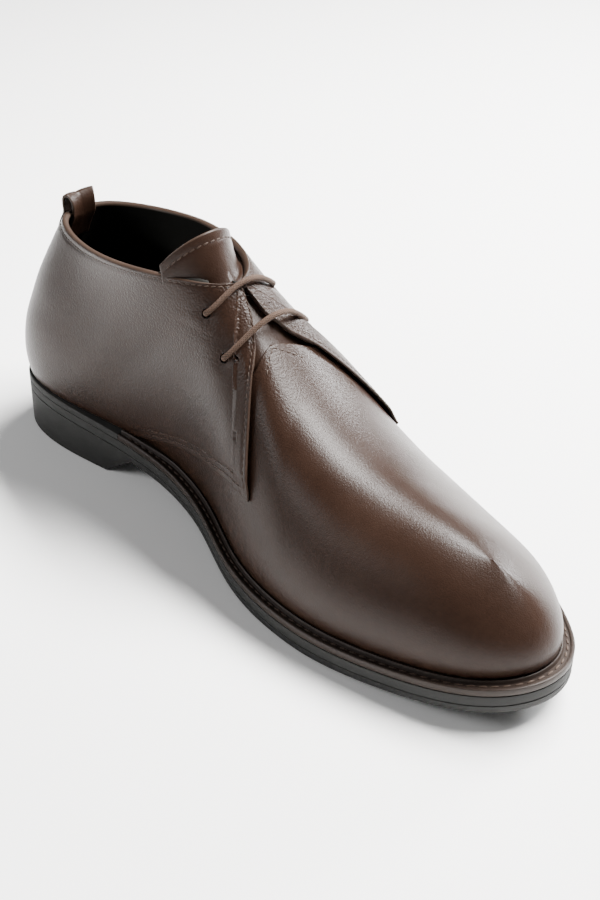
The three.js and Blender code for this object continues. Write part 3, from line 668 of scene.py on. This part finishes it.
def vamp_row():
    """Stitched line below the vamp's top edge, from one facing to the other."""
    lines = []
    for side in (-1, 1):
        h = np.linspace(0.86, 1, 60)
        s = np.full(60, crest_share(THROAT_X + 3.4)) - 0.004 * (1 - h) / 0.14
        lines.append((skin(side, s, h, 0.0), skin_normal(side, s, h)))
    return lines


def rounded_crest(sheet, start):
    """Evens the sections where both sides of the vamp meet at the crest."""
    half = sheet.shape[1]
    sheet = sheet.copy()
    reach = half // 3
    kernel = np.exp(-((np.arange(-reach, reach + 1) / (reach * 0.55)) ** 2))
    kernel /= kernel.sum()
    weight = np.exp(-(((np.arange(2 * half - 1) - half + 1) / (half * 0.42)) ** 2))[:, None]
    for i in range(start + 1, (len(sheet) - 1) // 2):
        section = np.concatenate([sheet[i], sheet[-1 - i][-2::-1]])
        even = np.stack([np.convolve(section[:, k], kernel, "same") for k in range(3)], -1)
        share = weight * min(1.0, (i - start) / 12) * smooth((len(sheet) // 2 - i) / (half // 2))
        section = section * (1 - share) + even * share
        sheet[i], sheet[-1 - i] = section[:half], section[half - 1 :][::-1]
    return sheet


def vamp():
    fine = 1
    shares = np.concatenate([
        np.linspace(0.31, 0.55, 34 // fine)[:-1],
        np.linspace(0.55, 0.592, 16)[:-1],
        np.linspace(0.592, 1, 150 // fine),
    ])
    start = len(shares) - 150 // fine
    up = np.linspace(0, 1, 90 // fine)
    pairs = around(list(shares))
    side = np.array([p[0] for p in pairs])
    s = np.repeat(np.array([p[1] for p in pairs])[:, None], len(up), 1)
    h = up[None] * vamp_edge(s)
    base, normal = np.zeros((*s.shape, 3)), np.zeros((*s.shape, 3))
    for k in (-1, 1):
        base[side == k] = skin_base(k, s[side == k], h[side == k])
        normal[side == k] = skin_normal(k, s[side == k], h[side == k])
    row = [points for points, _ in vamp_row()]
    relief = soft_waves(base, VAMP_WAVES) - pressed(base, row, VAMP_SEAM, SEAM_WIDTH)
    outer = rounded_crest(base + normal * relief[..., None], start)
    inner = rounded_crest(base - normal * VAMP_THICK, start)
    grain = 0.18 + 0.5 * smooth((200 - base[..., 0]) / 60)
    sheets = [(outer, leather, grain), (inner, lining, 0.2)]
    sheets += rims(outer, inner, ("first", "last", "low"), cut_edge_with_painted_highlight)
    for part in (slice(0, start + 1), slice(len(outer) - start - 1, len(outer))):
        sheets.append((rim(outer[part, -1], inner[part, -1], outer[part, -2]), cut_edge_with_painted_highlight, 0.2))
    return sheets


laid("vamp", vamp(), "upper")
quarter_pieces = {
    side: laid(name, quarter(side))
    for side, name in ((-1, "quarter_inner_side"), (1, "quarter_outer_side"))
}


def punch_eyelets(side):
    """Round holes through the quarter, square to its face."""
    cutters = []
    for eyelet in EYELETS:
        at = place(skin(side, eyelet["s"], eyelet["h"], 0.0))
        way = Vector(skin_normal(side, eyelet["s"], eyelet["h"]))
        bpy.ops.mesh.primitive_cylinder_add(vertices=32, radius=EYELET_RADIUS * 0.001, depth=0.012)
        cutter = bpy.context.active_object
        turned = way.to_track_quat("Z", "Y").to_matrix().to_4x4()
        cutter.data.transform(Matrix.Translation(Vector(at)) @ turned)
        cutters.append(cutter)
    cut(quarter_pieces[side], cutters)


def cut(obj, cutters):
    """Takes the joined cutters out of a piece."""
    bpy.ops.object.select_all(action="DESELECT")
    for cutter in cutters:
        cutter.select_set(True)
    bpy.context.view_layer.objects.active = cutters[0]
    if len(cutters) > 1:
        bpy.ops.object.join()
    tool = bpy.context.active_object
    only(obj)
    mod = obj.modifiers.new("cut", "BOOLEAN")
    mod.operation, mod.solver, mod.object = "DIFFERENCE", "EXACT", tool
    bpy.ops.object.modifier_apply(modifier="cut")
    bpy.data.objects.remove(tool)


for side in (-1, 1):
    punch_eyelets(side)

# The tongue


def tongue_at(side, q, step):
    """Top face of the tongue: under the quarters along the wall, then turning into the arch."""
    q, step = np.broadcast_arrays(np.asarray(q, float), np.asarray(step, float))
    u = np.minimum(1, step / TONGUE["covered"])
    s = mix(crest_share(TONGUE["end"]), COLLAR_SHARE - TONGUE["wrap"] * q, u)
    p = skin(side, s, mix(1 - TONGUE["side"] * q, 1, u * u), np.full(s.shape, -WALL - SEAT - 0.1))
    above = np.clip((step - TONGUE["covered"]) / (TONGUE["steps"] - TONGUE["covered"]), 0, 1)
    down = (1 - above) * ARCH["reach"]
    arch = np.stack([
        ARCH["x"] - ARCH["radius"] * (1 - np.cos(ARCH["turn"] * q)) + ARCH["lean"] * down * (1 - q / 2),
        ARCH["y"] + side * ARCH["radius"] * np.sin(ARCH["turn"] * q),
        ARCH["z"] - ARCH["drop"] * q**2 - down,
    ], -1)
    return mix(p, arch, smooth(1.4 * above)[..., None])


def sheet_normals(sheet):
    return unit(np.cross(np.gradient(sheet, axis=0), np.gradient(sheet, axis=1)))


def tongue():
    q = np.linspace(0, 1, 33)
    step = np.concatenate([np.linspace(0, 7, 40)[:-1], np.linspace(7, 11, 50)])
    top = np.concatenate([tongue_at(-1, q[::-1, None], step), tongue_at(1, q[1:, None], step)])
    normal = sheet_normals(top)
    if normal[32, 10, 2] < 0:
        normal = -normal
    row = top[:, -9]
    outer = top - normal * pressed(top, [row], TONGUE_SEAM, SEAM_WIDTH)[..., None]
    inner = top - normal * TONGUE["thick"]
    sheets = [(outer, leather, 0.25), (inner, lining, 0.2)]
    sheets += rims(outer, inner, ("first", "last", "low", "top"), cut_edge_with_painted_highlight)
    return sheets, (row[3:-3], normal[3:-3, -9])


tongue_sheets, tongue_row = tongue()
laid("tongue_leather", tongue_sheets, "tongue")

# The sole


def underside(x):
    x = np.asarray(x, float)
    waist = WAIST_LIFT * (np.clip(BALL_START - x, 0, None) / (BALL_START - BREAST_END)) ** 1.6
    toe = TOE_SPRING * (np.clip(x - BALL_END, 0, None) / (SOLE_LENGTH - BALL_END)) ** 1.7
    breast = WAIST_LIFT * (x - HEEL_END) / (BREAST_END - HEEL_END)
    return np.where(x <= HEEL_END, 0, np.where(x <= BREAST_END, breast, np.where(x <= BALL_END, waist, toe)))


def ledge(x):
    return sole_top(x) - WELT_THICK - SEAT


def slab(rings, mat, start=0.0, stop=1.0, count=170, across=8):
    """Stretch of the sole; each ring has an inset and a height over x."""
    shares = np.unique(np.concatenate([
        np.linspace(start, stop, count),
        [s for s in (float(share_at(HEEL_END)), float(share_at(BREAST_END))) if start < s < stop],
    ]))
    layers = []
    for inset, z in rings:
        ax, ay, _, _ = sole_edge(-1, shares, inset)
        bx, by, _, _ = sole_edge(1, shares, inset)
        c = np.linspace(0, 1, across + 1)
        x = mix(ax[:, None], bx[:, None], c)
        layers.append(np.stack([x, mix(ay[:, None], by[:, None], c), z(x)], -1))
    layers = np.stack(layers)
    faces = (layers[0], layers[-1], layers[:, :, 0], layers[:, :, -1], layers[:, 0], layers[:, -1])
    return [(face, mat, 0.3) for face in faces]


def outsole():
    def groove(x, up):
        """Heights of the fine line in the outsole's side."""
        return np.maximum(ledge(x) - 4.6 + up, underside(x) + 1.4 + up)

    return slab([
        (0.9, underside),
        (0.25, lambda x: underside(x) + 0.25),
        (0, lambda x: underside(x) + 0.9),
        (0, lambda x: groove(x, 0.0)),
        (0.35, lambda x: groove(x, 0.2)),
        (0.35, lambda x: groove(x, 0.45)),
        (0, lambda x: groove(x, 0.65)),
        (0, lambda x: ledge(x) - 0.5),
        (0.15, lambda x: ledge(x) - 0.15),
        (0.5, ledge),
    ], rubber)


def bent_box(x, y, length, width, depth):
    """Cutter that follows the sole's underside."""
    bpy.ops.mesh.primitive_cube_add(size=1)
    tool = bpy.context.active_object
    corners = np.zeros((8, 3))
    for i, vertex in enumerate(tool.data.vertices):
        px = x + vertex.co.x * length
        top = vertex.co.z > 0
        corners[i] = px, y + vertex.co.y * width, float(underside(px)) + (depth if top else -BELOW)
    tool.data.vertices.foreach_set("co", place(corners).ravel())
    return tool


def band_sheets(start, stop, wrap):
    """Narrow groove that keeps its distance to the sole's edge round the heel or the toe."""
    shares = np.linspace(start, stop, 120)
    pairs = around(list(shares))
    if wrap == "heel":
        pairs = [(-1, s) for s in shares[::-1]] + [(1, s) for s in shares[1:]]
    loops = []
    for side, s in pairs:
        rows = [
            (RIM_OUTER, -BELOW), (RIM_OUTER, RIM_DEPTH), (RIM_INNER, RIM_DEPTH),
            (RIM_INNER, -BELOW), (RIM_OUTER, -BELOW),
        ]
        e = np.array([r[0] for r in rows])
        x, y, _, _ = sole_edge(side, np.full(e.shape, s), e)
        loops.append(np.stack([x, y, underside(x) + np.array([r[1] for r in rows])], -1))
    ring = np.stack(loops)
    ends = [np.stack([np.stack([r[0], r[1]]), np.stack([r[3], r[2]])]) for r in (ring[0], ring[-1])]
    return [(ring, rubber, 0.3)] + [(end, rubber, 0.3) for end in ends]


def cut_tread(obj):
    grooves = []
    reach = (RIM_OUTER + RIM_INNER) / 2
    for tread in (HEEL_TREAD, BALL_TREAD):
        for i in range(tread["count"]):
            x = tread["start"] + i * TREAD_PITCH
            s = float(share_at(x))
            a, b = float(sole_edge(-1, s, reach)[1]), float(sole_edge(1, s, reach)[1])
            grooves.append(bent_box(x, (a + b) / 2, TREAD_WIDTH, b - a, TREAD_DEPTH))
    cut(obj, grooves)
    heel = float(share_at(HEEL_TREAD["start"] + (HEEL_TREAD["count"] - 1) * TREAD_PITCH))
    cut(obj, [laid("heel_band", band_sheets(0.0, heel, "heel"))])
    ball = float(share_at(BALL_TREAD["start"]))
    cut(obj, [laid("toe_band", band_sheets(ball, 1.0, "toe"))])
    line, depth = PLATE["line"], PLATE["depth"]
    half_length, half_width_in = (PLATE["length"] - line) / 2, (PLATE["width"] - line) / 2
    bars = ((half_length, 0, line, PLATE["width"]), (0, half_width_in, PLATE["bar"], line))
    for dx, dy, length, width in bars:
        cut(obj, [bent_box(PLATE["x"] + k * dx, PLATE["y"] + k * dy, length, width, depth) for k in (-1, 1)])
    only(obj)
    bpy.ops.object.shade_smooth_by_angle(angle=math.radians(35))


outsole_piece = laid("outsole_moulding", outsole(), "outsole", angle=40)
cut_tread(outsole_piece)
laid(
    "heel_seat",
    slab([
        (0.5, ledge),
        (0.1, lambda x: ledge(x) + 0.2),
        (0, lambda x: ledge(x) + 0.6),
        (0, lambda x: sole_top(x) - 0.6),
        (0.2, lambda x: sole_top(x) - 0.15),
        (0.6, sole_top),
    ], rubber, 0, float(share_at(WELT_START)), 70),
    angle=40,
)
laid(
    "insole_board",
    slab([
        (feather_inset(0.5) + WALL + 0.6, lambda x: sole_top(x) + SEAT),
        (feather_inset(0.5) + WALL + 0.6, lambda x: sole_top(x) + 3.2),
    ], lining, 0, 1, 120),
    "insole",
    angle=40,
)


def bead_at(s):
    return float(feather_inset(s)) - 0.5 - (QUARTER + 0.2) * float(smooth((0.42 - s) / 0.05))


def welt():
    start = float(share_at(WELT_START + SEAT))
    loops = []
    for side, s in around(list(np.linspace(start, 1, 190))):
        bead = bead_at(s)
        inner = WELT_WIDTH - 2 * SEAT
        rows = [
            (0.2, 0), (0, 0.3), (0, 2.6), (0.15, 2.95), (0.5, 3.1), (1.2, 3.1), (1.45, 2.95),
            (1.6, 2.6), (bead - 1.4, 2.6), (bead - 1.2, 2.9), (bead - 1.0, 3.5),
            (bead - 0.8, 3.95), (bead - 0.5, 4.1), (bead - 0.2, 3.95), (bead, 3.5),
            (bead + 0.1, 3), (inner, 3), (inner, 0), (0.2, 0),
        ]
        e = np.array([r[0] for r in rows])
        x, y, _, _ = sole_edge(side, np.full(e.shape, s), e)
        loops.append(np.stack([x, y, sole_top(x) - WELT_THICK + np.array([r[1] for r in rows])], -1))
    return [(np.stack(loops), welt_leather, 0.3)]


laid("welt_strip", welt(), "welt", angle=50)

# Laces and pull loop


def spline_points(points, count):
    """Smooth path through a few points, evenly spaced."""
    points = np.asarray(points, float)
    d = np.concatenate([[0], np.cumsum(np.linalg.norm(np.diff(points, axis=0), axis=1) ** 0.7)])
    axes = [curve(list(zip(d, points[:, k]))) for k in range(3)]
    fine = np.linspace(0, d[-1], 600)
    dense = np.stack([a(fine) for a in axes], -1)
    run = np.concatenate([[0], np.cumsum(np.linalg.norm(np.diff(dense, axis=0), axis=1))])
    even = np.linspace(0, run[-1], count)
    return np.stack([np.interp(even, run, dense[:, k]) for k in range(3)], -1)


def lace_path(eyelet):
    """From inside one hole, over both facings in a shallow arc, into the other hole."""
    over = QUARTER + SEAT + LACE_RADIUS
    s_edge = float(facing_share(eyelet["v"]))
    h_edge = float(mix(quarter_low(s_edge), 1, eyelet["v"]))
    ends, touches = [], []
    for side in (-1, 1):
        hole, normal = skin(side, eyelet["s"], eyelet["h"]), skin_normal(side, eyelet["s"], eyelet["h"])
        for u in (0.85, 1.0):
            touches.append(skin(side, mix(eyelet["s"], s_edge, u), mix(eyelet["h"], h_edge, u), over))
        toward = unit(touches[-1] - hole)
        bend = [(-0.5, -2.6), (-0.2, 0.1), (0.5, 1.9), (2.2, over - 0.1)]
        ends.append([hole + toward * a + normal * o for a, o in bend])
    start, chord = ends[0][-1], ends[1][-1] - ends[0][-1]
    upward = np.array([0.45, 0.0, 1.0])
    upward = unit(upward - chord * (upward @ chord) / (chord @ chord))
    rise = 0.0
    for q in touches:
        t = (q - start) @ chord / (chord @ chord)
        rise = max(rise, ((q - start - t * chord) @ upward) / math.sin(math.pi * t))
    arc = [start + chord * t + upward * rise * math.sin(math.pi * t) for t in (0.25, 0.5, 0.75)]
    return spline_points([*ends[0], *arc, *ends[1][::-1]], 150)


def tube(path, radius, sides=16):
    tangent = unit(np.gradient(path, axis=0))
    a = unit(np.cross(tangent, np.array([1.0, 0.0, 0.3])))
    b = np.cross(tangent, a)
    t = np.linspace(0, 2 * math.pi, sides + 1)
    circle = a[:, None] * np.cos(t)[:, None] + b[:, None] * np.sin(t)[:, None]
    ring = path[:, None] + radius * circle
    first = np.stack([np.repeat(path[:1], sides + 1, 0), ring[0]])
    last = np.stack([np.repeat(path[-1:], sides + 1, 0), ring[-1]])
    return [(ring, cord, 0.0), (first, cord, 0.0), (last, cord, 0.0)]


for eyelet in EYELETS:
    laid(eyelet["node"] + "_cord", tube(lace_path(eyelet), LACE_RADIUS), eyelet["node"])

# Height share on the back seam, offset from the skin, rise above the collar
LOOP_PATH = [
    (0.84, -2.7, 0), (0.92, -2.7, 0), (1, -2.7, 0), (1, -2.9, 4), (1, -2, 7), (1, -0.2, 8.2),
    (1, 1.6, 7), (1, 2.6, 4), (1, 2.35, 0), (0.94, 2.35, 0), (0.88, 2.35, 0),
]
LOOP_HALF, LOOP_THICK = 7.0, 1.3
SEAM_LENGTH = 80.0  # rough length of the back seam, only used for the strap's direction
LOOP_PROBE = 0.05  # share at which the skin's reach beside the back seam is measured


def pull_loop():
    d = np.arange(len(LOOP_PATH), dtype=float)
    table = np.array(LOOP_PATH, float)
    fine = np.linspace(0, d[-1], 80)
    h = np.clip(np.interp(fine, d, table[:, 0]), 0, 1)
    out = curve(list(zip(d, table[:, 1])))(fine)
    up = curve(list(zip(d, table[:, 2])))(fine)
    line = np.stack([out, up + (h - 1) * SEAM_LENGTH], -1)
    along = unit(np.gradient(line, axis=0))

    def sheet(shift):
        rows = []
        for c in np.linspace(-1, 1, 21):
            side = -1 if c < 0 else 1
            beside = skin(side, np.full(h.shape, LOOP_PROBE), h)
            reach = np.abs(beside[:, 1] - skin(side, np.zeros(h.shape), h)[:, 1])
            share = LOOP_PROBE * (LOOP_HALF * abs(c) / reach) ** (1 / COLLAR_SPREAD)
            p = skin(side, share, h, out - along[:, 1] * shift)
            p[:, 2] += up + along[:, 0] * shift
            rows.append(p)
        return np.stack(rows)

    outer, inner = sheet(LOOP_THICK / 2), sheet(-LOOP_THICK / 2)
    faces = [(outer, leather, 0.3), (inner, leather, 0.3)]
    return faces + rims(outer, inner, ("first", "last", "low", "top"), cut_edge_with_painted_highlight)


laid("loop_strap", pull_loop(), "pull_loop")

# Stitches


def stitch_template():
    """One stitch of few faces, a stretched ball with its length along X."""
    bpy.ops.mesh.primitive_uv_sphere_add(segments=8, ring_count=4, radius=0.5)
    ball = bpy.context.active_object
    ball.data.transform(Matrix.Rotation(math.pi / 2, 4, "Y"))
    points = np.array([v.co[:] for v in ball.data.vertices])
    faces = [tuple(p.vertices) for p in ball.data.polygons]
    bpy.data.objects.remove(ball)
    return points, faces


STITCH_POINTS, STITCH_FACES = stitch_template()


def stitches(name, rows, pitch=3.0, length=2.35, thick=0.62, sink=0.02, tilt=0.12):
    """Rows of single stitches along lines of points with their normals."""
    verts, faces = [], []
    for points, normals in rows:
        run = np.concatenate([[0], np.cumsum(np.linalg.norm(np.diff(points, axis=0), axis=1))])
        places = np.arange(pitch / 2, run[-1] - pitch / 4, pitch)
        at = np.stack([np.interp(places, run, points[:, k]) for k in range(3)], -1)
        before = np.stack([np.interp(places - 0.8, run, points[:, k]) for k in range(3)], -1)
        after = np.stack([np.interp(places + 0.8, run, points[:, k]) for k in range(3)], -1)
        n = unit(np.stack([np.interp(places, run, normals[:, k]) for k in range(3)], -1))
        t = unit(after - before)
        b = unit(np.cross(n, t))
        t = unit(t + tilt * b)
        b = np.cross(n, t)
        for i in range(len(at)):
            base = len(verts) * len(STITCH_POINTS)
            local = STITCH_POINTS[:, :1] * t[i] * length + STITCH_POINTS[:, 1:2] * b[i] * thick
            local = local + STITCH_POINTS[:, 2:] * n[i] * thick * 0.8
            verts.append(place(at[i] + n[i] * sink + local))
            faces += [tuple(base + k for k in face) for face in STITCH_FACES]
    mesh = bpy.data.meshes.new(name)
    mesh.from_pydata(np.concatenate(verts).tolist(), [], faces)
    obj = bpy.data.objects.new(name, mesh)
    bpy.context.scene.collection.objects.link(obj)
    obj.data.materials.append(thread)
    close_up(obj, 1e-8)
    return kept(obj)


upper_rows = []
for side in (-1, 1):
    for points, normals in seam_lines(side):
        upper_rows.append((points - normals * 0.16, normals))
stitches("quarter_stitches", upper_rows, pitch=2.7, length=2.0, thick=0.5)
vamp_rows = [(p - n * 0.12, n) for p, n in vamp_row()]
stitches("vamp_stitches", vamp_rows, pitch=3.0, length=2.3, thick=0.6)
tongue_rows = [(tongue_row[0] - tongue_row[1] * 0.12, tongue_row[1])]
stitches("tongue_stitches", tongue_rows, pitch=3.0, length=2.3, thick=0.6)


def welt_row():
    points = []
    start = float(share_at(WELT_START + 4))
    for side, s in around(list(np.linspace(start, 1, 400))):
        e = (1.6 + bead_at(s) - 1.4) / 2
        x, y, _, _ = sole_edge(side, s, e)
        points.append([float(x), float(y), float(sole_top(x)) - WELT_THICK + 2.6])
    points = np.array(points)
    return points, np.tile([0.0, 0.0, 1.0], (len(points), 1))


stitches(
    "welt_stitches", [welt_row()], pitch=4.2, length=3.3, thick=0.95, sink=0.08, tilt=0.1
)

# Camera, floor and light
WORLD_STRENGTH = 0.16
# Place and direction of the photo's camera; the picture is centred on the boot by a shift
CAMERA_AT = Vector((0.35382, -0.32146, 0.3576))
CAMERA_WAY = Vector((-0.645, 0.51, -0.57))
CAMERA_ROLL = -1.779
LENS = 83.0
SHIFT_X, SHIFT_Y = 0.158, 0.03
cam_data = bpy.data.cameras.new("camera")
cam_data.sensor_fit = "HORIZONTAL"
cam_data.sensor_width = 36
cam_data.lens = LENS
cam_data.shift_x, cam_data.shift_y = SHIFT_X, SHIFT_Y
cam_data.clip_start, cam_data.clip_end = 0.01, 20
camera = bpy.data.objects.new("camera", cam_data)
bpy.context.scene.collection.objects.link(camera)
camera.location = CAMERA_AT
camera.rotation_mode = "QUATERNION"
level = CAMERA_WAY.to_track_quat("-Z", "Y")
camera.rotation_quaternion = level @ Matrix.Rotation(math.radians(CAMERA_ROLL), 3, "Z").to_quaternion()
bpy.context.scene.camera = camera

bpy.ops.mesh.primitive_plane_add(size=6, location=(0, 0, -0.0002))
floor = bpy.context.active_object
floor.name = "floor"
pale = bpy.data.materials.new("pale_floor")
pale.use_nodes = True
pale_shader = pale.node_tree.nodes["Principled BSDF"]
pale_shader.inputs["Base Color"].default_value = (0.9, 0.9, 0.9, 1)
pale_shader.inputs["Roughness"].default_value = 0.9
pale_shader.inputs["Specular IOR Level"].default_value = 0.1
floor.data.materials.append(pale)


def area_light(name, place_at, aim, size, power, color=(1, 1, 1)):
    data = bpy.data.lights.new(name, "AREA")
    data.shape = "RECTANGLE"
    data.size, data.size_y = size
    data.energy = power
    data.color = color
    lamp = bpy.data.objects.new(name, data)
    bpy.context.scene.collection.objects.link(lamp)
    lamp.location = place_at
    lamp.rotation_mode = "QUATERNION"
    lamp.rotation_quaternion = (Vector(aim) - Vector(place_at)).to_track_quat("-Z", "Y")
    return lamp


area_light("top_light", (0.12, 0.5, 0.98), (0.02, 0, 0.06), (0.95, 0.26), 96, (1.0, 0.985, 0.965))
area_light("back_light", (0.06, 1.1, 0.42), (0.1, 0, 0.04), (0.3, 0.2), 20)
area_light("side_light", (-0.48, -0.74, 0.5), (0.05, 0, 0.03), (0.5, 0.12), 5)
world = bpy.data.worlds.new("studio")
world.use_nodes = True
world.node_tree.nodes["Background"].inputs[0].default_value = (1, 1, 1, 1)
world.node_tree.nodes["Background"].inputs[1].default_value = WORLD_STRENGTH
bpy.context.scene.world = world
